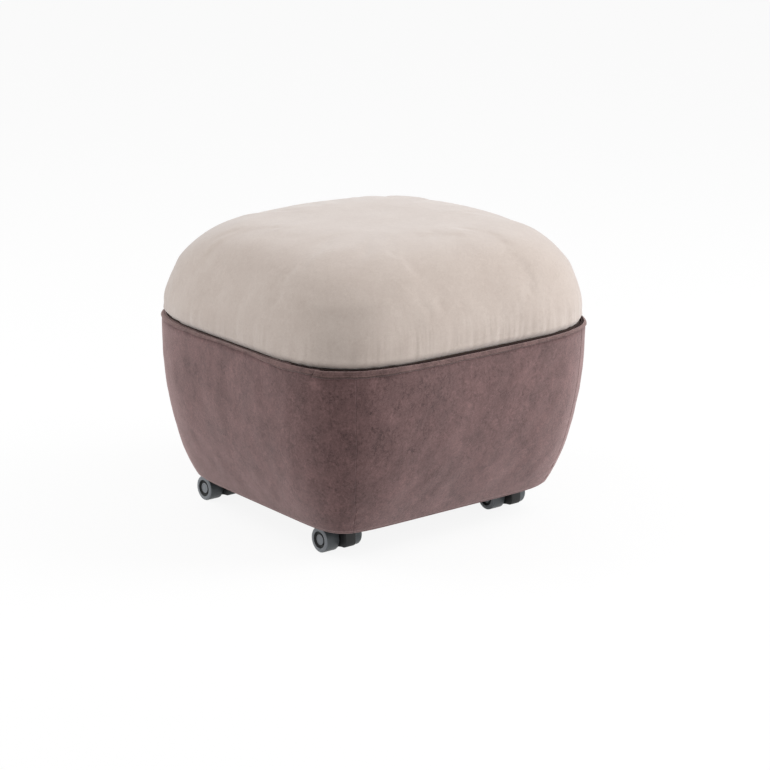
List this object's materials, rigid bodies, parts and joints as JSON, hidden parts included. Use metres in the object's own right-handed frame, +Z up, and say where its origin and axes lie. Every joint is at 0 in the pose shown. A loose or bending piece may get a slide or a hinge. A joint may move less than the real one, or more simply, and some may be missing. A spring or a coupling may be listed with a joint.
{
  "type": "glider ottoman",
  "caption": "Low upholstered footstool with a crowned cream seat, a tapering brown velvet body, a folded band between them and swivelling twin-wheel castors.",
  "frame": {"origin": "on the floor, under the middle of the seat", "axes": "+Z up; +X to the right along the wider side, +Y from front to back; the picture looks at the corner between -X and -Y"},
  "size_m": [0.508, 0.466, 0.416],
  "materials": {
    "cream_fabric": "cream brushed microfibre, soft sheen",
    "velvet": "mushroom brown velvet, paler at grazing angles",
    "foam": "pale yellow seat foam, open cell, matt",
    "padding": "white polyester wadding",
    "webbing": "dark woven elastic webbing",
    "dust_cloth": "black non-woven dust cloth",
    "plywood": "bare plywood",
    "timber": "bare sawn softwood",
    "hardboard": "brown hardboard, smooth outside",
    "wheel": "mid grey moulded plastic, satin",
    "housing": "near-black moulded plastic, satin",
    "steel": "bright zinc-plated steel"
  },
  "bodies": {
    "ottoman": {"base_board": "plywood", "dust_cover": "dust_cloth", "seat_foam": "foam", "seat_cover": "cream_fabric", "welt_band": "velvet", "top_rail_right": "plywood", "side_rib_right": "plywood", "hardboard_right": "hardboard", "side_padding_right": "padding", "velvet_panel_right": "velvet", "top_rail_rear": "plywood", "side_rib_rear": "plywood", "hardboard_rear": "hardboard", "side_padding_rear": "padding", "velvet_panel_rear": "velvet", "top_rail_left": "plywood", "side_rib_left": "plywood", "hardboard_left": "hardboard", "side_padding_left": "padding", "velvet_panel_left": "velvet", "top_rail_front": "plywood", "side_rib_front": "plywood", "hardboard_front": "hardboard", "side_padding_front": "padding", "velvet_panel_front": "velvet", "strap_across_a": "webbing", "strap_along_a": "webbing", "strap_across_b": "webbing", "strap_along_b": "webbing", "strap_across_c": "webbing", "strap_along_c": "webbing", "corner_post_front_left": "timber", "castor_socket_front_left": "steel", "corner_post_front_right": "timber", "castor_socket_front_right": "steel", "corner_post_rear_left": "timber", "castor_socket_rear_left": "steel", "corner_post_rear_right": "timber", "castor_socket_rear_right": "steel"},
    "front_left_castor": {"castor_stem_front_left": "steel", "castor_housing_front_left": "housing", "castor_axle_front_left": "steel"},
    "front_left_left_wheel": {"left_wheel_front_left": "wheel"},
    "front_left_right_wheel": {"right_wheel_front_left": "wheel"},
    "front_right_castor": {"castor_stem_front_right": "steel", "castor_housing_front_right": "housing", "castor_axle_front_right": "steel"},
    "front_right_left_wheel": {"left_wheel_front_right": "wheel"},
    "front_right_right_wheel": {"right_wheel_front_right": "wheel"},
    "rear_left_castor": {"castor_stem_rear_left": "steel", "castor_housing_rear_left": "housing", "castor_axle_rear_left": "steel"},
    "rear_left_left_wheel": {"left_wheel_rear_left": "wheel"},
    "rear_left_right_wheel": {"right_wheel_rear_left": "wheel"},
    "rear_right_castor": {"castor_stem_rear_right": "steel", "castor_housing_rear_right": "housing", "castor_axle_rear_right": "steel"},
    "rear_right_left_wheel": {"left_wheel_rear_right": "wheel"},
    "rear_right_right_wheel": {"right_wheel_rear_right": "wheel"}
  },
  "joints": [
    {"name": "front_left_swivel", "type": "hinge", "parent": "ottoman", "child": "front_left_castor", "pos_m": [-0.1485, -0.135, 0.0377], "axis": [0, 0, 1], "continuous": true},
    {"name": "front_left_left_wheel_spin", "type": "hinge", "parent": "front_left_castor", "child": "front_left_left_wheel", "pos_m": [-0.1485, -0.112, 0.01773], "axis": [1, 0, 0], "continuous": true},
    {"name": "front_left_right_wheel_spin", "type": "hinge", "parent": "front_left_castor", "child": "front_left_right_wheel", "pos_m": [-0.1485, -0.112, 0.01773], "axis": [1, 0, 0], "continuous": true},
    {"name": "front_right_swivel", "type": "hinge", "parent": "ottoman", "child": "front_right_castor", "pos_m": [0.1485, -0.135, 0.0377], "axis": [0, 0, 1], "continuous": true},
    {"name": "front_right_left_wheel_spin", "type": "hinge", "parent": "front_right_castor", "child": "front_right_left_wheel", "pos_m": [0.1485, -0.112, 0.01773], "axis": [1, 0, 0], "continuous": true},
    {"name": "front_right_right_wheel_spin", "type": "hinge", "parent": "front_right_castor", "child": "front_right_right_wheel", "pos_m": [0.1485, -0.112, 0.01773], "axis": [1, 0, 0], "continuous": true},
    {"name": "rear_left_swivel", "type": "hinge", "parent": "ottoman", "child": "rear_left_castor", "pos_m": [-0.1485, 0.135, 0.0377], "axis": [0, 0, 1], "continuous": true},
    {"name": "rear_left_left_wheel_spin", "type": "hinge", "parent": "rear_left_castor", "child": "rear_left_left_wheel", "pos_m": [-0.1485, 0.158, 0.01773], "axis": [1, 0, 0], "continuous": true},
    {"name": "rear_left_right_wheel_spin", "type": "hinge", "parent": "rear_left_castor", "child": "rear_left_right_wheel", "pos_m": [-0.1485, 0.158, 0.01773], "axis": [1, 0, 0], "continuous": true},
    {"name": "rear_right_swivel", "type": "hinge", "parent": "ottoman", "child": "rear_right_castor", "pos_m": [0.1485, 0.135, 0.0377], "axis": [0, 0, 1], "continuous": true},
    {"name": "rear_right_left_wheel_spin", "type": "hinge", "parent": "rear_right_castor", "child": "rear_right_left_wheel", "pos_m": [0.1485, 0.158, 0.01773], "axis": [1, 0, 0], "continuous": true},
    {"name": "rear_right_right_wheel_spin", "type": "hinge", "parent": "rear_right_castor", "child": "rear_right_right_wheel", "pos_m": [0.1485, 0.158, 0.01773], "axis": [1, 0, 0], "continuous": true}
  ]
}
